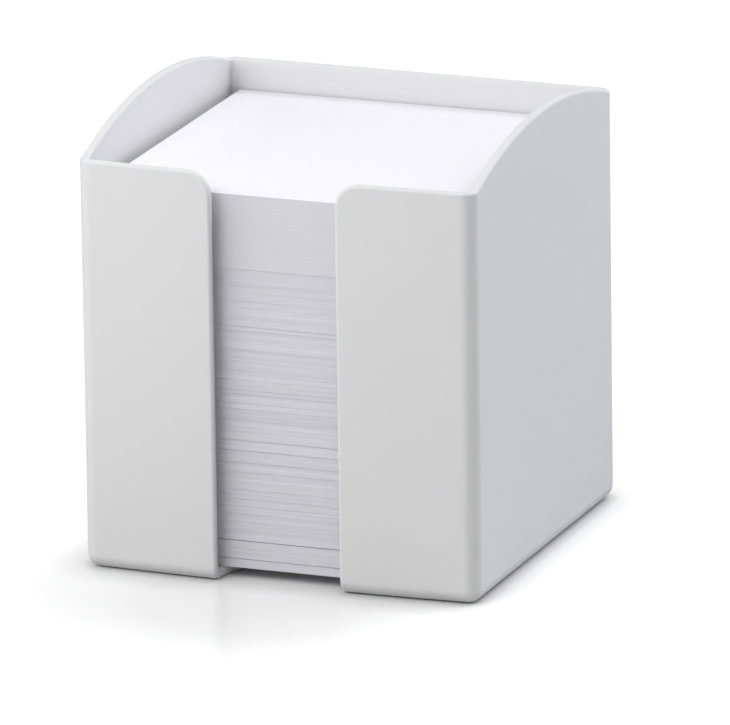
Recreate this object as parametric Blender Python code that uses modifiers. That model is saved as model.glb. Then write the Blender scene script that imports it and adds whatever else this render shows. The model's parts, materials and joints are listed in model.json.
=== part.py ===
"""Memo note holder: an open desk box for loose square notes, with its notes in it.

Units are metres and +Z is up. The origin lies on the desk under the middle of the box, and the
slotted front faces -Y. The box is one moulding: a flat floor and four thin walls. The side walls'
rims follow one shallow arc from the level front rim to the level back rim. A finger slot runs down
the middle of the front wall and on into the floor as a half round notch. The notes are loose sheets, made as the bundles in which
such a pile parts, with a single sheet on top.
"""

import math

import bmesh
import bpy
from mathutils import Vector

# The notes: square sheets of ordinary office paper
SHEET_SIDE = 0.0900
SHEET_THICKNESS = 0.0001
PILE_HEIGHT = 0.0913

# Room that the box leaves around the notes
SEAT_GAP = 0.0003
SIDE_ROOM = 0.0028
FRONT_ROOM = 0.0015
HEAD_ROOM = 0.0060

# The moulding
WALL = 0.0022
FLOOR = 0.0026
FRONT_BOW = 0.0016
ARC_RISE = 0.0085
ARC_SETBACK = 0.0028
CORNER_RADIUS = 0.0035
FOOT_RADIUS = 0.0035
INNER_RADIUS = 0.0007
FILLET_RADIUS = 0.0015
RIM_ROUNDING = 0.0008

# The finger slot in the front wall
SLOT_WIDTH = 0.0314
SLOT_CORNER_RADIUS = 0.0060
NOTCH_INSET = 0.0010

# How far the bundles lie out of line with each other
JOG_SIDEWAYS = 0.0004
JOG_FORWARD = 0.0005
JOG_TURN = math.radians(0.15)

# Heights at which the pile parts, from its foot up
PARTING_SHARES = (
    0.000, 0.012, 0.022, 0.049, 0.072, 0.121, 0.144, 0.163, 0.210, 0.282, 0.315, 0.342, 0.361, 0.399,
    0.427, 0.443, 0.479, 0.505, 0.528, 0.584, 0.610, 0.649, 0.728, 0.770, 0.802, 0.907, 1.000,
)

# The bundles that lift off together, above the widest parting
UPPER_BUNDLES = 2

# Sizes that follow from those above
INNER_WIDTH = SHEET_SIDE + 2 * SIDE_ROOM
INNER_DEPTH = SEAT_GAP + SHEET_SIDE + FRONT_ROOM + FRONT_BOW
OUTER_WIDTH = INNER_WIDTH + 2 * WALL
OUTER_DEPTH = INNER_DEPTH + 2 * WALL
PILE_FOOT = FLOOR + SEAT_GAP
PILE_TOP = PILE_FOOT + PILE_HEIGHT
RIM_HEIGHT = PILE_TOP + SEAT_GAP + HEAD_ROOM
PEAK_HEIGHT = RIM_HEIGHT + ARC_RISE
ARC_FRONT_Y = FRONT_BOW + RIM_ROUNDING - INNER_DEPTH / 2
ARC_BACK_Y = INNER_DEPTH / 2 - RIM_ROUNDING
ARC_RADIUS = ((ARC_SETBACK - ARC_FRONT_Y) ** 2 + ARC_RISE ** 2) / (2 * ARC_RISE)
NOTES_Y = INNER_DEPTH / 2 - SEAT_GAP - SHEET_SIDE / 2
NOTCH_Y = NOTCH_INSET - INNER_DEPTH / 2
OVERRUN = FOOT_RADIUS + ARC_RISE

# Facets
BOW_COLUMNS = 4
ARC_ROWS = 16
OUTER_STEPS = 6
INNER_STEPS = 4
RIM_STEPS = 2
NOTCH_STEPS = 24
SHARP_ANGLE = math.radians(40)
NEARLY_FLAT_ANGLE = math.radians(0.2)
WELD_LENGTH = SHEET_THICKNESS / 20
EDGE_WEIGHT = "bevel_weight_edge"


def clear_scene():
    for obj in list(bpy.data.objects):
        bpy.data.objects.remove(obj, do_unlink=True)


def make_collection(name):
    collection = bpy.data.collections.new(name)
    bpy.context.scene.collection.children.link(collection)
    return collection


def make_material(name, colour, roughness):
    material = bpy.data.materials.new(name)
    material.use_nodes = True
    shader = material.node_tree.nodes["Principled BSDF"]
    shader.inputs["Base Color"].default_value = (*colour, 1.0)
    shader.inputs["Roughness"].default_value = roughness
    shader.inputs["Metallic"].default_value = 0.0
    return material


def add_object(name, bm, collection):
    mesh = bpy.data.meshes.new(name)
    bm.to_mesh(mesh)
    bm.free()
    obj = bpy.data.objects.new(name, mesh)
    collection.objects.link(obj)
    return obj


def block_mesh(size, centre):
    bm = bmesh.new()
    bmesh.ops.create_cube(bm, size=1.0)
    bmesh.ops.scale(bm, vec=Vector(size), verts=bm.verts)
    bmesh.ops.translate(bm, vec=Vector(centre), verts=bm.verts)
    return bm


def split_mesh(bm, point, normal):
    everything = bm.verts[:] + bm.edges[:] + bm.faces[:]
    bmesh.ops.bisect_plane(bm, geom=everything, plane_co=point, plane_no=normal)


def even_columns(start, end, count):
    return [start + (end - start) * column / count for column in range(1, count)]


def slot_columns():
    """Places across the right half of the front: close round the slot's corner, even beyond it."""
    half_slot = SLOT_WIDTH / 2
    columns = [half_slot - RIM_ROUNDING / 2]
    for step in range(1, OUTER_STEPS + 1):
        angle = math.pi / 2 * step / OUTER_STEPS
        columns.append(half_slot + SLOT_CORNER_RADIUS * (1 - math.cos(angle)))
    return columns + even_columns(columns[-1], OUTER_WIDTH / 2, BOW_COLUMNS)


def bow_front(bm, columns):
    """Curves the front face, which reaches furthest forward beside the slot."""
    slot_share = (SLOT_WIDTH + 2 * RIM_ROUNDING) / OUTER_WIDTH
    for x in columns:
        split_mesh(bm, (x, 0.0, 0.0), (1.0, 0.0, 0.0))
        split_mesh(bm, (-x, 0.0, 0.0), (1.0, 0.0, 0.0))
    for vert in bm.verts:
        if vert.co.y < 0.0:
            vert.co.y += FRONT_BOW * ((2 * vert.co.x / OUTER_WIDTH) ** 2 - slot_share ** 2)


def cut_rows(block):
    """Cuts the block across between its front and back walls, so that its top can follow the arc."""
    bm = bmesh.new()
    bm.from_mesh(block.data)
    for row in range(ARC_ROWS + 1):
        y = ARC_FRONT_Y + (ARC_BACK_Y - ARC_FRONT_Y) * row / ARC_ROWS
        split_mesh(bm, (0.0, y, 0.0), (0.0, 1.0, 0.0))
    bmesh.ops.triangulate(bm, faces=bm.faces)
    bm.to_mesh(block.data)
    bm.free()


def mark_block_edges(bm, upright_radius, foot_radius, back_foot_radius):
    """Marks the block's upright edges and those at its foot with their share of the largest radius."""
    weight = bm.edges.layers.float.new(EDGE_WEIGHT)
    largest = max(upright_radius, foot_radius, back_foot_radius)
    middle = sum((vert.co for vert in bm.verts), Vector()) / len(bm.verts)
    for edge in bm.edges:
        low, high = sorted(vert.co.z for vert in edge.verts)
        if edge.calc_face_angle() < SHARP_ANGLE or low > middle.z:
            continue
        at_back = all(vert.co.y == edge.verts[0].co.y > middle.y for vert in edge.verts)
        if high > middle.z:
            edge[weight] = upright_radius / largest
        else:
            edge[weight] = (back_foot_radius if at_back else foot_radius) / largest
    return largest


def mark_sharp_edges(bm):
    """Marks the sharp edges along the rim and round the slot."""
    weight = bm.edges.layers.float.get(EDGE_WEIGHT) or bm.edges.layers.float.new(EDGE_WEIGHT)
    for edge in bm.edges:
        on_rim = all(vert.co.z > PILE_TOP for vert in edge.verts)
        by_slot = all(abs(vert.co.x) < SLOT_WIDTH / 2 + RIM_ROUNDING / 2 for vert in edge.verts)
        edge[weight] = float((on_rim or by_slot) and edge.calc_face_angle(0) > SHARP_ANGLE)


def bake_modifiers(obj):
    depsgraph = bpy.context.evaluated_depsgraph_get()
    baked = bpy.data.meshes.new_from_object(obj.evaluated_get(depsgraph))
    obj.modifiers.clear()
    obj.data = baked


def round_marked_edges(obj, radius, steps):
    rounding = obj.modifiers.new("edge_rounding", "BEVEL")
    rounding.limit_method = "WEIGHT"
    rounding.width = radius
    rounding.segments = steps
    rounding.use_clamp_overlap = False
    bake_modifiers(obj)


def slot_corner_drop(x):
    """How far the rim has come down at x on its way round the slot's corner."""
    reach = SLOT_WIDTH / 2 + SLOT_CORNER_RADIUS - abs(x)
    reach = min(max(reach, 0.0), SLOT_CORNER_RADIUS)
    return SLOT_CORNER_RADIUS - math.sqrt(SLOT_CORNER_RADIUS ** 2 - reach ** 2)


def arc_drop(y):
    """How far the rim lies below its peak at y: it is level over the front and back walls."""
    reach = min(max(y, ARC_FRONT_Y), ARC_BACK_Y) - ARC_SETBACK
    return ARC_RADIUS - math.sqrt(ARC_RADIUS ** 2 - reach ** 2)


def curve_top(block):
    """Drops the flat top to the rim's arc and rounds the slot's corners."""
    for vert in block.data.vertices:
        if vert.co.z > RIM_HEIGHT:
            vert.co.z -= arc_drop(vert.co.y)
            if vert.co.y < 0.0:
                vert.co.z -= slot_corner_drop(vert.co.x)


def merge_faces(obj):
    """Joins the faces that lie flat beside each other once the cuts are made."""
    bm = bmesh.new()
    bm.from_mesh(obj.data)
    bmesh.ops.remove_doubles(bm, verts=bm.verts, dist=WELD_LENGTH)
    bmesh.ops.dissolve_limit(bm, angle_limit=NEARLY_FLAT_ANGLE, verts=bm.verts, edges=bm.edges)
    mark_sharp_edges(bm)
    bm.to_mesh(obj.data)
    bm.free()


def cut_away(obj, cutter):
    cutter.hide_render = True
    cutter.display_type = "WIRE"
    cut = obj.modifiers.new(cutter.name, "BOOLEAN")
    cut.object = cutter
    cut.operation = "DIFFERENCE"
    cut.solver = "EXACT"
    bake_modifiers(obj)


def build_hollow(cutters):
    height = PEAK_HEIGHT + OVERRUN - FLOOR
    bm = block_mesh((INNER_WIDTH, INNER_DEPTH, height), (0.0, 0.0, FLOOR + height / 2))
    bow_front(bm, even_columns(0.0, INNER_WIDTH / 2, BOW_COLUMNS))
    largest_radius = mark_block_edges(bm, INNER_RADIUS, FILLET_RADIUS, INNER_RADIUS)
    hollow = add_object("hollow", bm, cutters)
    round_marked_edges(hollow, largest_radius, INNER_STEPS)
    return hollow


def build_finger_slot(cutters):
    """A slot whose rear end is a half round, as deep as the whole box."""
    length = OVERRUN + OUTER_DEPTH / 2 + NOTCH_Y + SLOT_WIDTH / 2
    height = PEAK_HEIGHT + 2 * OVERRUN
    rear = NOTCH_Y + SLOT_WIDTH / 2
    bm = block_mesh((SLOT_WIDTH, length, height), (0.0, rear - length / 2, PEAK_HEIGHT / 2))
    rear_uprights = [edge for edge in bm.edges if all(vert.co.y > NOTCH_Y for vert in edge.verts)]
    rear_uprights = [edge for edge in rear_uprights if edge.verts[0].co.z != edge.verts[1].co.z]
    bmesh.ops.bevel(
        bm, geom=rear_uprights, offset=SLOT_WIDTH / 2, segments=NOTCH_STEPS // 2, profile=0.5, affect="EDGES"
    )
    bmesh.ops.remove_doubles(bm, verts=bm.verts, dist=WELD_LENGTH)
    return add_object("finger_slot", bm, cutters)


def build_note_box(parts, cutters):
    """The moulding: a block under the arc, less its hollow and the finger slot."""
    bm = block_mesh((OUTER_WIDTH, OUTER_DEPTH, PEAK_HEIGHT), (0.0, 0.0, PEAK_HEIGHT / 2))
    bow_front(bm, slot_columns())
    largest_radius = mark_block_edges(bm, CORNER_RADIUS, FOOT_RADIUS, FOOT_RADIUS)
    box = add_object("note_box", bm, parts)
    round_marked_edges(box, largest_radius, OUTER_STEPS)
    cut_rows(box)
    curve_top(box)
    cut_away(box, build_hollow(cutters))
    cut_away(box, build_finger_slot(cutters))
    merge_faces(box)
    round_marked_edges(box, RIM_ROUNDING, RIM_STEPS)
    box.data.shade_smooth()
    box.data.set_sharp_from_angle(angle=SHARP_ANGLE)
    return box


def add_lift_axis(name, location, parent, parts):
    """An empty on the upright line along which the notes above it lift."""
    axis = bpy.data.objects.new(name, None)
    parts.objects.link(axis)
    axis.parent = parent
    axis.location = location
    return axis


def golden_swing(number, start_share):
    """A value from -1 to 1 that wanders evenly from bundle to bundle."""
    golden_share = (math.sqrt(5) - 1) / 2
    return 2 * ((number * golden_share + start_share) % 1.0) - 1


def build_bundle(number, axis, axis_height, parts):
    foot = PILE_FOOT + PILE_HEIGHT * PARTING_SHARES[number - 1] - axis_height
    top = PILE_FOOT + PILE_HEIGHT * PARTING_SHARES[number] - SEAT_GAP - axis_height
    bm = block_mesh((SHEET_SIDE, SHEET_SIDE, top - foot), (0.0, 0.0, (foot + top) / 2))
    bundle = add_object(f"note_bundle_{number:02d}", bm, parts)
    forward = JOG_FORWARD * (golden_swing(number, 0.3) + 1) / 2
    bundle.parent = axis
    bundle.location = (JOG_SIDEWAYS * golden_swing(number, 0.1), -forward, 0.0)
    bundle.rotation_euler.z = JOG_TURN * golden_swing(number, 0.7)
    return bundle


def build_notes(parts):
    bundle_count = len(PARTING_SHARES) - 1
    last_lower = bundle_count - UPPER_BUNDLES
    parting_height = PILE_FOOT + PILE_HEIGHT * PARTING_SHARES[last_lower]
    lower_axis = add_lift_axis("lower_notes", (0.0, NOTES_Y, PILE_FOOT), None, parts)
    upper_axis = add_lift_axis("upper_notes", (0.0, 0.0, parting_height - PILE_FOOT), lower_axis, parts)
    notes = []
    for number in range(1, bundle_count + 1):
        if number <= last_lower:
            notes.append(build_bundle(number, lower_axis, PILE_FOOT, parts))
        else:
            notes.append(build_bundle(number, upper_axis, parting_height, parts))
    bm = block_mesh((SHEET_SIDE, SHEET_SIDE, SHEET_THICKNESS), (0.0, 0.0, SHEET_THICKNESS / 2))
    top_sheet = add_object("top_sheet", bm, parts)
    top_sheet.parent = upper_axis
    top_sheet.location.z = PILE_TOP - parting_height
    notes.append(top_sheet)
    return notes


def main():
    clear_scene()
    parts = make_collection("memo_note_holder")
    cutters = make_collection("cutters")
    plastic = make_material("light_grey_plastic", (0.70, 0.70, 0.69), 0.35)
    paper = make_material("white_paper", (0.88, 0.88, 0.92), 0.80)
    build_note_box(parts, cutters).data.materials.append(plastic)
    for note in build_notes(parts):
        note.data.materials.append(paper)


main()
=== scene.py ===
"""A memo note holder: a light grey moulded box of loose square notes, on a white table."""

import json
import math
import random

import bmesh
import bpy
from mathutils import Matrix, Vector


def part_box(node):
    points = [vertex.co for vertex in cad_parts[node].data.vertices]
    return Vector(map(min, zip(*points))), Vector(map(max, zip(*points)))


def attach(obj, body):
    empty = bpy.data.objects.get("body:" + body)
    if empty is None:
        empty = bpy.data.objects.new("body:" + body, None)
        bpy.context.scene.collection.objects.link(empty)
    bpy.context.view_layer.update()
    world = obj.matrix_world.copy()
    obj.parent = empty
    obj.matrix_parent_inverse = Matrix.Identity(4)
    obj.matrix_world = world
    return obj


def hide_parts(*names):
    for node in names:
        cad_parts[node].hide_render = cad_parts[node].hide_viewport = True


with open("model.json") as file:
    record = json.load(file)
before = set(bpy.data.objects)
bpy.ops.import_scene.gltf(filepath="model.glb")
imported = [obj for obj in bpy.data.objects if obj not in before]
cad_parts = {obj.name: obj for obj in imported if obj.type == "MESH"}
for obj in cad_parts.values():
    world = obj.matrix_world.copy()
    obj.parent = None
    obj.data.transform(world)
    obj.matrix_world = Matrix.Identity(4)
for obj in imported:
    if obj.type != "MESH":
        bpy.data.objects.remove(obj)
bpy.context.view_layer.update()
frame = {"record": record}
draw = random.Random(90)

MM = 0.001

# The moulding, as in the part
OUTER_WIDTH = 100.0 * MM
OUTER_DEPTH = 97.8 * MM
INNER_WIDTH = 95.6 * MM
INNER_DEPTH = 93.4 * MM
FLOOR = 2.6 * MM
PEAK_HEIGHT = 109.0 * MM
FRONT_BOW = 1.6 * MM
CORNER_RADIUS = 3.5 * MM
FOOT_RADIUS = 3.5 * MM
INNER_RADIUS = 0.7 * MM
FILLET_RADIUS = 1.5 * MM
RIM_ROUNDING = 0.8 * MM
ARC_RISE = 8.5 * MM
ARC_SETBACK = 2.8 * MM
ARC_FRONT_Y = FRONT_BOW + RIM_ROUNDING - INNER_DEPTH / 2
ARC_BACK_Y = INNER_DEPTH / 2 - RIM_ROUNDING
ARC_RADIUS = ((ARC_SETBACK - ARC_FRONT_Y) ** 2 + ARC_RISE ** 2) / (2 * ARC_RISE)
SLOT_WIDTH = 31.4 * MM
SLOT_CORNER_RADIUS = 6.0 * MM
NOTCH_INSET = 1.0 * MM
NOTCH_Y = NOTCH_INSET - INNER_DEPTH / 2

# Facets of the moulding's round stretches
OUTER_STEPS = 10
INNER_STEPS = 6
NOTCH_STEPS = 16
SLOT_CORNER_STEPS = 12
RIM_STEPS = 5

# Cuts that let the front follow its bow and the rim its arc
BOW_COLUMNS = 4
ARC_ROWS = 42
ROOM_BESIDE_SLOT = 0.6 * MM
ROOM_BESIDE_CORNER = 5.0 * MM

# The front wall lies before the first of these; walls reach above the second, and only the rim the third
FRONT_ZONE = -43.5 * MM
WALL_ZONE = 20.0 * MM
RIM_ZONE = 90.0 * MM
# How near to the foot, the slot and the slot's own edges counts as there
FOOT_REACH = 1.0 * MM
SLOT_REACH = 0.1 * MM
SLOT_EDGE_REACH = 0.01 * MM
# From where an edge counts as upright, a face as looking straight along an axis, and an edge as sharp
UPRIGHT_RISE = 10.0 * MM
FACING_SHARE = 0.99
SHARP_ANGLE = math.radians(40)

# Faces nearer than this to one plane, and points nearer than these to each other, are made one
NEARLY_FLAT_ANGLE = math.radians(0.02)
WELD_LENGTH = 0.005 * MM
CUTTER_WELD_LENGTH = 0.002 * MM
# Shifts that agree to so many digits are made together, and those below the least not at all
SHIFT_DIGITS = 8
LEAST_SHIFT = 1e-8

# The notes
SHEET_SIDE = 90.0 * MM
SHEET_PITCH = 0.1 * MM
SHEET_THICKNESS = 0.097 * MM
PILE_CLEARANCE = 0.04 * MM

# How far the pile gapes above each bundle, from its foot up
GAPES = [gape * MM for gape in (
    0.05, 0.20, 0.02, 0.28, 0.04, 0.05, 0.055, 0.045, 0.08, 0.09, 0.08, 0.03, 0.06,
    0.07, 0.075, 0.03, 0.08, 0.045, 0.03, 0.02, 0.08, 0.045, 0.01, 0.09, 0.01, 0.02)]
# How far a run of sheets stands out of line in front; the block above the widest gap is tidier
DISORDER = {"lower_notes": 0.055 * MM, "upper_notes": 0.008 * MM, "top_note": 0.008 * MM}
# How far a run of sheets, and each sheet in it, lies to one side
RUN_SIDE_SHIFT = 0.25 * MM
SHEET_SIDE_SHIFT = 0.05 * MM
# How far they are turned, in degrees
RUN_TURN = 0.06
SHEET_TURN = 0.02
# The fewest and the most sheets in a run
RUN_LENGTHS = (2, 14)
# The bundles' fronts are nearly flush at this depth, with little of the steps between the solids
PILE_MIDDLE_Y = 1.2 * MM
STEP_SHARE = 0.15

# Colours as they look under a white lamp
PLASTIC_DARK, PLASTIC_LIGHT = "#dededf", "#e1e1e2"
PAPER_DARK, PAPER_LIGHT = "#efeef3", "#f3f2f7"
# The cut edges are darker than the face: painted shade of the gaps between sheets
EDGE_DARK_AND_PAINTED_GAP_SHADE, EDGE_LIGHT_AND_PAINTED_GAP_SHADE = "#d8d7dc", "#e2e1e6"
TABLE_GREY = "#c3c3c3"

# How wide and how high the features of each finish are
PIGMENT_CLOUD = 28.6 * MM
ETCHING_GRAIN = 0.303 * MM
ETCHING_HEIGHT = 0.01 * MM
SINK_LENGTH = 25.0 * MM
SINK_HEIGHT = 0.12 * MM
FIBRE_CLOUD = 2.5 * MM
FIBRE_HEIGHT = 0.01 * MM
EDGE_LINE_LENGTH = 28.6 * MM
EDGE_LINE_HEIGHT = 0.25 * MM

# The table, and the round patch of painted shade, a softer white, before the holder
TABLE_SIDE = 8.0
PAINTED_SHADE_CENTRE = (0, -58.0 * MM, 0)
PAINTED_SHADE_INNER_RADIUS = 28.0 * MM
PAINTED_SHADE_OUTER_RADIUS = 70.0 * MM
PAINTED_SHADE_WHITE, OPEN_WHITE = 0.36, 0.60
# The white is painted darker where something stands this near: painted contact shade
PAINTED_CONTACT_SHADE_REACHES = (3.0 * MM, 12.0 * MM)

# How bright reflections see the white walls, next to what the camera sees
REFLECTED_WALLS_SHARE = 0.6

# Each lamp's name, degrees round to the left of the front, degrees up, distance and side in metres, watts
# and colour
LAMPS = (
    ("front_softbox", 25, 40, 0.8, 0.5, 2.85, "#ffffff"),
    ("high_front_softbox", 0, 50, 1.0, 0.6, 2.6, "#ffffff"),
    ("low_left_softbox", 65, 15, 0.8, 0.5, 2.0, "#ffffff"),
    ("right_softbox", -55, 30, 1.5, 0.9, 2.3, "#ffffff"),
    ("rear_right_softbox", -130, 12, 1.5, 0.9, 6.3, "#ecefff"),
    ("high_rear_softbox", -130, 52, 1.5, 0.9, 13.0, "#ffffff"),
    ("rear_softbox", -170, 20, 1.5, 0.9, 2.5, "#ffffff"),
)
LAMP_AIM = Vector((0, 0, 50.0 * MM))

# The camera, fitted to the straight edges of the photograph; its turns are in radians
CAMERA_PLACE = Vector((0.9997, -2.5664, 0.8398))
CAMERA_AZIMUTH, CAMERA_PITCH, CAMERA_ROLL = 0.3701, 0.2819, -0.0140
CAMERA_REACH = 10
SENSOR_WIDTH = 36.0
FOCAL_PIXELS = 12000
PICTURE_WIDTH_PIXELS = 730


# Small tools

def linear_colour(value):
    """An sRGB hex colour as the linear colour that a shader takes."""
    shares = [int(value[place:place + 2], 16) / 255 for place in (1, 3, 5)]
    linear = [s / 12.92 if s <= 0.04045 else ((s + 0.055) / 1.055) ** 2.4 for s in shares]
    return (*linear, 1.0)


def scale_for(size):
    """The scale at which a pattern's features have this size."""
    return 1 / size


def add_node(tree, kind, settings=None, **inputs):
    """Adds a node with its settings; an input is a value or the socket that feeds it.

    An input is called by its name, or by i and its place where several share a name.
    """
    node = tree.nodes.new(kind)
    for name, value in (settings or {}).items():
        setattr(node, name, value)
    for name, value in inputs.items():
        key = int(name[1:]) if name[0] == "i" and name[1:].isdigit() else name.replace("_", " ")
        if isinstance(value, bpy.types.NodeSocket):
            tree.links.new(value, node.inputs[key])
        else:
            node.inputs[key].default_value = value
    return node


def add_cube(name, size, centre):
    bpy.ops.object.select_all(action="DESELECT")
    bpy.ops.mesh.primitive_cube_add(size=1, location=centre)
    piece = bpy.context.object
    piece.name = name
    piece.scale = size
    bpy.ops.object.transform_apply(location=True, rotation=True, scale=True)
    return piece


def edit(piece):
    bpy.ops.object.select_all(action="DESELECT")
    bpy.context.view_layer.objects.active = piece
    piece.select_set(True)
    bpy.ops.object.mode_set(mode="EDIT")


def leave():
    bpy.ops.object.mode_set(mode="OBJECT")


def choose(piece, kind, test):
    """Selects the vertices, edges or faces that pass the test, in edit mode."""
    bpy.context.tool_settings.mesh_select_mode = (kind == "verts", kind == "edges", kind == "faces")
    bpy.ops.mesh.select_all(action="DESELECT")
    mesh = bmesh.from_edit_mesh(piece.data)
    for element in getattr(mesh, kind):
        if test(element):
            element.select_set(True)
    mesh.select_flush_mode()
    bmesh.update_edit_mesh(piece.data)


def slide(piece, shift_at):
    """Moves every vertex by the shift for its place, those with the same shift together."""
    mesh = bmesh.from_edit_mesh(piece.data)
    groups = {}
    for vert in mesh.verts:
        shift = shift_at(vert.co)
        if shift.length > LEAST_SHIFT:
            key = tuple(round(value, SHIFT_DIGITS) for value in shift)
            groups.setdefault(key, set()).add(vert.index)
    for shift, members in groups.items():
        choose(piece, "verts", lambda vert: vert.index in members)
        bpy.ops.transform.translate(value=shift)


def bisect_faces(piece, point, normal, test):
    """Cuts the faces that pass the test along a plane."""
    choose(piece, "faces", test)
    bpy.ops.mesh.bisect(plane_co=point, plane_no=normal)


def weigh(piece, test, share):
    """Gives the chosen edges their share of the rounding."""
    choose(piece, "edges", test)
    bpy.ops.transform.edge_bevelweight(value=share)


def apply_modifier(piece, kind, **settings):
    bpy.context.view_layer.objects.active = piece
    modifier = piece.modifiers.new(kind.lower(), kind)
    for name, value in settings.items():
        setattr(modifier, name, value)
    bpy.ops.object.modifier_apply(modifier=modifier.name)


def round_weighed_edges(piece, radius, steps):
    apply_modifier(
        piece, "BEVEL", limit_method="WEIGHT", width=radius, segments=steps, use_clamp_overlap=False)


def cut_away(piece, cutter):
    apply_modifier(piece, "BOOLEAN", object=cutter, operation="DIFFERENCE", solver="EXACT")
    bpy.data.objects.remove(cutter)


# The moulded holder

def is_upright(edge):
    return abs(edge.verts[0].co.z - edge.verts[1].co.z) > UPRIGHT_RISE


def rounded_block(name, size, centre, upright_radius, foot_radius, back_foot_radius, steps):
    """A block with rounded upright edges and a rounded foot, whose top stays sharp."""
    block = add_cube(name, size, centre)
    largest = max(upright_radius, foot_radius, back_foot_radius)
    low = centre[2] - size[2] / 2 + FOOT_REACH
    edit(block)
    weigh(block, is_upright, upright_radius / largest)
    for at_back, radius in ((False, foot_radius), (True, back_foot_radius)):
        def at_foot(edge):
            behind = all(vert.co.y > centre[1] for vert in edge.verts)
            return behind == at_back and all(vert.co.z < low for vert in edge.verts)
        weigh(block, at_foot, radius / largest)
    leave()
    round_weighed_edges(block, largest, steps)
    # The rounding leaves its weights on the new edges, where the rim's rounding would find them
    edit(block)
    weigh(block, lambda edge: True, -1.0)
    leave()
    return block


def finger_slot():
    """The slot as a block to cut away, which ends in a half round behind the front wall."""
    rear = NOTCH_Y + SLOT_WIDTH / 2
    front = -OUTER_DEPTH
    height = 2 * PEAK_HEIGHT
    slot = add_cube(
        "finger_slot", (SLOT_WIDTH, rear - front, height), (0, (rear + front) / 2, PEAK_HEIGHT / 2))
    edit(slot)
    choose(slot, "edges", lambda edge: is_upright(edge) and edge.verts[0].co.y > NOTCH_Y)
    bpy.ops.mesh.bevel(offset=SLOT_WIDTH / 2, segments=NOTCH_STEPS, affect="EDGES")
    bpy.ops.mesh.select_all(action="SELECT")
    bpy.ops.mesh.remove_doubles(threshold=CUTTER_WELD_LENGTH)
    leave()
    return slot


def cut_columns(holder):
    """Cuts both front wings into columns that can follow the bow."""
    first = SLOT_WIDTH / 2 + SLOT_CORNER_RADIUS + ROOM_BESIDE_SLOT
    last = OUTER_WIDTH / 2 - CORNER_RADIUS - ROOM_BESIDE_CORNER
    for column in range(BOW_COLUMNS):
        x = first + (last - first) * column / (BOW_COLUMNS - 1)
        for side in (-1, 1):
            def on_wing(face):
                middle = face.calc_center_median()
                return middle.y < FRONT_ZONE and middle.x * side > 0
            bisect_faces(holder, (side * x, 0, 0), (1, 0, 0), on_wing)


def bow_shift(place):
    """How far the front is set back at a place: nothing beside the slot, most at the corners."""
    if place.y > FRONT_ZONE:
        return Vector()
    slot_share = (SLOT_WIDTH + 2 * RIM_ROUNDING) / OUTER_WIDTH
    return Vector((0, max(0, FRONT_BOW * ((2 * place.x / OUTER_WIDTH) ** 2 - slot_share ** 2)), 0))


def is_under_arc(face):
    """Whether a face belongs to a side wall or to the flat top of the rim."""
    on_top = face.normal.z > FACING_SHARE and face.calc_center_median().z > RIM_ZONE
    return on_top or abs(face.normal.x) > FACING_SHARE


def cut_rows(holder):
    """Cuts the side walls and the rim across, and at the arc's two ends all the walls."""
    for row in range(ARC_ROWS + 1):
        at_end = row in (0, ARC_ROWS)
        y = ARC_FRONT_Y + (ARC_BACK_Y - ARC_FRONT_Y) * row / ARC_ROWS
        bisect_faces(
            holder, (0, y, 0), (0, 1, 0),
            lambda face: is_under_arc(face) or at_end and face.calc_center_median().z > WALL_ZONE)


def arc_shift(place):
    """How far the rim comes down to its arc, which is level over the front and back walls."""
    if place.z < RIM_ZONE:
        return Vector()
    reach = min(max(place.y, ARC_FRONT_Y), ARC_BACK_Y) - ARC_SETBACK
    drop = ARC_RADIUS - math.sqrt(ARC_RADIUS ** 2 - reach ** 2)
    return Vector((0, 0, -drop))


def at_slot_corner(edge):
    """Whether an edge is one where the slot's side meets the rim."""
    high = all(vert.co.z > RIM_ZONE for vert in edge.verts)
    return high and all(abs(abs(vert.co.x) - SLOT_WIDTH / 2) < SLOT_EDGE_REACH for vert in edge.verts)


def on_rim_or_slot(edge):
    """Whether an edge is a sharp one of the rim or the slot, which the mould rounds."""
    high = all(vert.co.z > RIM_ZONE for vert in edge.verts)
    by_slot = all(abs(vert.co.x) < SLOT_WIDTH / 2 + SLOT_REACH for vert in edge.verts)
    return (high or by_slot) and edge.calc_face_angle(0) > SHARP_ANGLE


def mould_holder(plastic):
    """A block less its hollow and its slot, then bowed in front, arched on top and rounded."""
    holder = rounded_block(
        "note_holder", (OUTER_WIDTH, OUTER_DEPTH, PEAK_HEIGHT), (0, 0, PEAK_HEIGHT / 2),
        CORNER_RADIUS, FOOT_RADIUS, FOOT_RADIUS, OUTER_STEPS)
    height = 2 * PEAK_HEIGHT
    hollow = rounded_block(
        "hollow", (INNER_WIDTH, INNER_DEPTH, height), (0, 0, FLOOR + height / 2),
        INNER_RADIUS, FILLET_RADIUS, INNER_RADIUS, INNER_STEPS)
    cut_away(holder, hollow)
    cut_away(holder, finger_slot())

    edit(holder)
    bpy.ops.mesh.select_all(action="SELECT")
    bpy.ops.mesh.remove_doubles(threshold=WELD_LENGTH)
    bpy.ops.mesh.dissolve_limited(angle_limit=NEARLY_FLAT_ANGLE)
    cut_columns(holder)
    slide(holder, bow_shift)
    cut_rows(holder)
    slide(holder, arc_shift)
    choose(holder, "edges", at_slot_corner)
    bpy.ops.mesh.bevel(offset=SLOT_CORNER_RADIUS, segments=SLOT_CORNER_STEPS, affect="EDGES")
    weigh(holder, on_rim_or_slot, 1.0)
    leave()
    round_weighed_edges(holder, RIM_ROUNDING, RIM_STEPS)
    bpy.ops.object.shade_smooth()
    apply_modifier(holder, "WEIGHTED_NORMAL", mode="FACE_AREA", keep_sharp=False, weight=100)
    holder.data.materials.append(plastic)
    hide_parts("note_box")
    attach(holder, "box")


# Materials

def new_material(name):
    material = bpy.data.materials.new(name)
    material.use_nodes = True
    tree = material.node_tree
    return material, tree, tree.nodes["Principled BSDF"]


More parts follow.
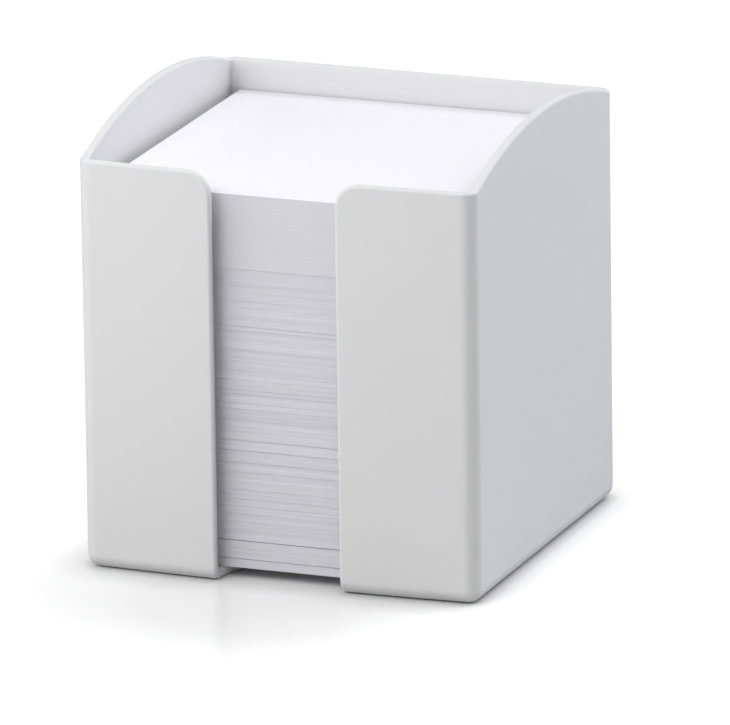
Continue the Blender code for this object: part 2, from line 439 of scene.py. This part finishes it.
def satin_polystyrene():
    """Injection moulded polystyrene: an even light grey whose soft sheen draws bright lines on its edges."""
    material, tree, shader = new_material("satin_polystyrene")
    place = add_node(tree, "ShaderNodeTexCoord").outputs["Object"]
    # Pigment that is a shade darker here and there, over some 30 mm
    pigment = add_node(tree, "ShaderNodeTexNoise", Vector=place, Scale=scale_for(PIGMENT_CLOUD), Detail=2.0)
    tone = add_node(
        tree, "ShaderNodeMix", {"data_type": "RGBA"}, Factor=pigment.outputs["Fac"],
        i6=linear_colour(PLASTIC_DARK), i7=linear_colour(PLASTIC_LIGHT))
    tree.links.new(tone.outputs[2], shader.inputs["Base Color"])
    # The etching of the mould, 0.3 mm across: drawn coarser than the real 0.05 mm, which no picture
    # would show
    etching = add_node(tree, "ShaderNodeTexNoise", Vector=place, Scale=scale_for(ETCHING_GRAIN), Detail=2.0)
    rough = add_node(
        tree, "ShaderNodeMapRange", Value=etching.outputs["Fac"], To_Min=0.50, To_Max=0.60)
    tree.links.new(rough.outputs["Result"], shader.inputs["Roughness"])
    # Walls are never quite flat: they sink by some hundredths of a millimetre over 25 mm
    sink = add_node(tree, "ShaderNodeTexNoise", Vector=place, Scale=scale_for(SINK_LENGTH), Detail=1.0)
    waves = add_node(
        tree, "ShaderNodeBump", Height=sink.outputs["Fac"], Strength=0.6, Distance=SINK_HEIGHT)
    grain = add_node(
        tree, "ShaderNodeBump", Height=etching.outputs["Fac"], Strength=0.25, Distance=ETCHING_HEIGHT,
        Normal=waves.outputs["Normal"])
    tree.links.new(grain.outputs["Normal"], shader.inputs["Normal"])
    shader.inputs["IOR"].default_value = 1.55
    # The etching swallows part of the sheen
    shader.inputs["Specular IOR Level"].default_value = 0.2
    return material


def office_paper():
    """Uncoated office paper: matt, bluish white on its face; its cut edges painted duller with the shade of
    the gaps between sheets, and finely lined.
    """
    material, tree, shader = new_material("office_paper")
    place = add_node(tree, "ShaderNodeTexCoord").outputs["Object"]
    # Fibres gather in clouds of 2 to 3 mm
    clouds = add_node(
        tree, "ShaderNodeTexNoise", Vector=place, Scale=scale_for(FIBRE_CLOUD), Detail=4.0, Roughness=0.6)
    face = add_node(
        tree, "ShaderNodeMix", {"data_type": "RGBA"}, Factor=clouds.outputs["Fac"],
        i6=linear_colour(PAPER_DARK), i7=linear_colour(PAPER_LIGHT))
    # Cut edges differ in tone and are painted darker than the face: painted shade of the gaps between sheets.
    # The lines,
    # 0.25 mm high and some 30 mm long, take in two or three sheets each, partly random tone and partly
    # painted shade of
    # sheets that stand in or out: coarser than the real edge of 0.1 mm, which would not show
    long_scale, high_scale = scale_for(EDGE_LINE_LENGTH), scale_for(EDGE_LINE_HEIGHT)
    along = add_node(tree, "ShaderNodeMapping", Vector=place, Scale=(long_scale, long_scale, high_scale))
    lines = add_node(tree, "ShaderNodeTexNoise", Vector=along.outputs["Vector"], Scale=1.0, Detail=3.0)
    edge = add_node(
        tree, "ShaderNodeMix", {"data_type": "RGBA"}, Factor=lines.outputs["Fac"],
        i6=linear_colour(EDGE_DARK_AND_PAINTED_GAP_SHADE), i7=linear_colour(EDGE_LIGHT_AND_PAINTED_GAP_SHADE))
    facing = add_node(tree, "ShaderNodeNewGeometry").outputs["True Normal"]
    upward = add_node(tree, "ShaderNodeSeparateXYZ", Vector=facing).outputs["Z"]
    flat = add_node(tree, "ShaderNodeMath", {"operation": "ABSOLUTE"}, i0=upward)
    colour = add_node(
        tree, "ShaderNodeMix", {"data_type": "RGBA"}, Factor=flat.outputs[0],
        i6=edge.outputs[2], i7=face.outputs[2])
    tree.links.new(colour.outputs[2], shader.inputs["Base Color"])
    rough = add_node(tree, "ShaderNodeMapRange", Value=clouds.outputs["Fac"], To_Min=0.75, To_Max=0.90)
    tree.links.new(rough.outputs["Result"], shader.inputs["Roughness"])
    fibres = add_node(
        tree, "ShaderNodeBump", Height=clouds.outputs["Fac"], Strength=0.3, Distance=FIBRE_HEIGHT)
    tree.links.new(fibres.outputs["Normal"], shader.inputs["Normal"])
    shader.inputs["IOR"].default_value = 1.45
    # Without a coating the fibres scatter most of the sheen
    shader.inputs["Specular IOR Level"].default_value = 0.25
    return material


# The loose notes

def first_sheet():
    """The sheet that all the others are copies of."""
    bpy.ops.object.select_all(action="DESELECT")
    bpy.ops.mesh.primitive_grid_add(x_subdivisions=8, y_subdivisions=3, size=SHEET_SIDE, location=(0, 0, 0))
    sheet = bpy.context.object
    sheet.name = "sheet"
    apply_modifier(sheet, "SOLIDIFY", thickness=SHEET_THICKNESS, offset=0)
    return sheet


def stack_bundle(sheet, name, body, foot, top, paper):
    """A bundle of single sheets from foot to top, where its solid lies."""
    low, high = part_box(name)
    middle = (low + high) / 2
    middle.y = PILE_MIDDLE_Y + STEP_SHARE * (middle.y - PILE_MIDDLE_Y)
    count = max(1, round((top - foot) / SHEET_PITCH))
    pitch = (top - foot) / count
    sheets = []
    run, shift, turn = 0, Vector(), 0.0
    for number in range(count):
        # A new run of sheets that moved together
        if run == 0:
            run = draw.randint(*RUN_LENGTHS)
            shift = Vector((draw.uniform(-RUN_SIDE_SHIFT, RUN_SIDE_SHIFT), draw.gauss(0, DISORDER[body]), 0))
            turn = draw.uniform(-RUN_TURN, RUN_TURN)
        run -= 1
        copy = sheet.copy()
        copy.data = sheet.data.copy()
        bpy.context.collection.objects.link(copy)
        jitter = Vector((draw.gauss(0, SHEET_SIDE_SHIFT), draw.gauss(0, DISORDER[body] / 2), 0))
        copy.location = Vector((middle.x, middle.y, foot + (number + 0.5) * pitch)) + shift + jitter
        copy.rotation_euler.z = math.radians(turn + draw.gauss(0, SHEET_TURN))
        sheets.append(copy)
    bpy.ops.object.select_all(action="DESELECT")
    for copy in sheets:
        copy.select_set(True)
    bundle = sheets[0]
    bpy.context.view_layer.objects.active = bundle
    if len(sheets) > 1:
        bpy.ops.object.join()
    bpy.ops.object.transform_apply(location=True, rotation=True, scale=True)
    bundle.name = "loose_" + name
    bundle.data.materials.append(paper)
    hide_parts(name)
    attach(bundle, body)


def stack_notes(paper):
    """Every bundle reaches up to the next one, less the gape between them."""
    sheet = first_sheet()
    bodies = frame["record"]["behaviour"]["bodies"]
    names = [(name, body) for body in bodies for name in bodies[body] if name != "note_box"]
    feet = [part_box(name)[0].z for name, body in names]
    feet[0] = FLOOR + PILE_CLEARANCE
    tops = [foot - gape for foot, gape in zip(feet[1:], GAPES)] + [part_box("top_sheet")[1].z]
    for (name, body), foot, top in zip(names, feet, tops):
        stack_bundle(sheet, name, body, foot, top, paper)
    bpy.data.objects.remove(sheet)


# The table, the lamps and the camera

def white_table_top():
    """A satin lacquered table: it takes the holder's shade and a faint mirror image of its foot."""
    material, tree, shader = new_material("white_table_top")
    shader.inputs["Base Color"].default_value = linear_colour(TABLE_GREY)
    shader.inputs["Roughness"].default_value = 0.2
    shader.inputs["IOR"].default_value = 1.62
    shader.inputs["Emission Color"].default_value = (1, 1, 1, 1)
    rays = add_node(tree, "ShaderNodeLightPath")
    # The white of the picture's ground, which only the camera sees. It is painted duller right in front of
    # the holder, a pool of painted shade where the soft shade lies, and painted darker towards the holder's
    # foot as contact shade
    place = add_node(tree, "ShaderNodeTexCoord").outputs["Object"]
    away = add_node(tree, "ShaderNodeVectorMath", {"operation": "DISTANCE"}, i0=place, i1=PAINTED_SHADE_CENTRE)
    white = add_node(
        tree, "ShaderNodeMapRange", Value=away.outputs["Value"],
        From_Min=PAINTED_SHADE_INNER_RADIUS, From_Max=PAINTED_SHADE_OUTER_RADIUS, To_Min=PAINTED_SHADE_WHITE, To_Max=OPEN_WHITE)
    glow = add_node(
        tree, "ShaderNodeMath", {"operation": "MULTIPLY"},
        i0=rays.outputs["Is Camera Ray"], i1=white.outputs["Result"])
    # Painted contact shade: the camera's white is darkened where something stands near
    for reach in PAINTED_CONTACT_SHADE_REACHES:
        painted_contact_shade = add_node(tree, "ShaderNodeAmbientOcclusion", {"samples": 4}, Distance=reach)
        glow = add_node(
            tree, "ShaderNodeMath", {"operation": "MULTIPLY"}, i0=glow.outputs[0], i1=painted_contact_shade.outputs["AO"])
    tree.links.new(glow.outputs[0], shader.inputs["Emission Strength"])
    return material


def lay_table():
    bpy.ops.object.select_all(action="DESELECT")
    bpy.ops.mesh.primitive_plane_add(size=TABLE_SIDE, location=(0, 0, 0))
    table = bpy.context.object
    table.name = "table_top"
    table.data.materials.append(white_table_top())


def light_world():
    """White walls, which the camera sees as white and reflections see dimmed; the lamps give the light."""
    world = bpy.data.worlds.new("white_room")
    bpy.context.scene.world = world
    world.use_nodes = True
    tree = world.node_tree
    background = tree.nodes["Background"]
    background.inputs["Color"].default_value = (1, 1, 1, 1)
    rays = add_node(tree, "ShaderNodeLightPath")
    mirrored = add_node(
        tree, "ShaderNodeMath", {"operation": "MAXIMUM"},
        i0=rays.outputs["Is Glossy Ray"], i1=rays.outputs["Is Transmission Ray"])
    dimmed = add_node(
        tree, "ShaderNodeMath", {"operation": "MULTIPLY"}, i0=mirrored.outputs[0], i1=REFLECTED_WALLS_SHARE)
    seen = add_node(
        tree, "ShaderNodeMath", {"operation": "MAXIMUM"},
        i0=rays.outputs["Is Camera Ray"], i1=dimmed.outputs[0])
    tree.links.new(seen.outputs[0], background.inputs["Strength"])


def hang_lamp(name, round_left, raised, distance, size, power, colour):
    """A square soft lamp that faces the holder, from so many degrees left of its front and so many up."""
    data = bpy.data.lights.new(name, "AREA")
    data.shape = "SQUARE"
    data.size = size
    data.energy = power
    data.color = linear_colour(colour)[:3]
    lamp = bpy.data.objects.new(name, data)
    bpy.context.scene.collection.objects.link(lamp)
    turn = Matrix.Rotation(math.radians(-round_left), 3, "Z") @ Matrix.Rotation(math.radians(-raised), 3, "X")
    lamp.location = LAMP_AIM + turn @ Vector((0, -distance, 0))
    lamp.rotation_euler = (LAMP_AIM - lamp.location).to_track_quat("-Z", "Y").to_euler()


def set_camera():
    data = bpy.data.cameras.new("camera")
    camera = bpy.data.objects.new("camera", data)
    bpy.context.scene.collection.objects.link(camera)
    data.sensor_width = SENSOR_WIDTH
    data.lens = FOCAL_PIXELS / PICTURE_WIDTH_PIXELS * SENSOR_WIDTH
    data.clip_end = CAMERA_REACH
    camera.matrix_world = (
        Matrix.Translation(CAMERA_PLACE) @ Matrix.Rotation(CAMERA_AZIMUTH, 4, "Z")
        @ Matrix.Rotation(math.pi / 2 - CAMERA_PITCH, 4, "X") @ Matrix.Rotation(CAMERA_ROLL, 4, "Z"))
    bpy.context.scene.camera = camera


plastic = satin_polystyrene()
paper = office_paper()
mould_holder(plastic)
stack_notes(paper)
lay_table()
light_world()
for lamp in LAMPS:
    hang_lamp(*lamp)
set_camera()

bpy.context.scene.view_settings.view_transform = "Standard"
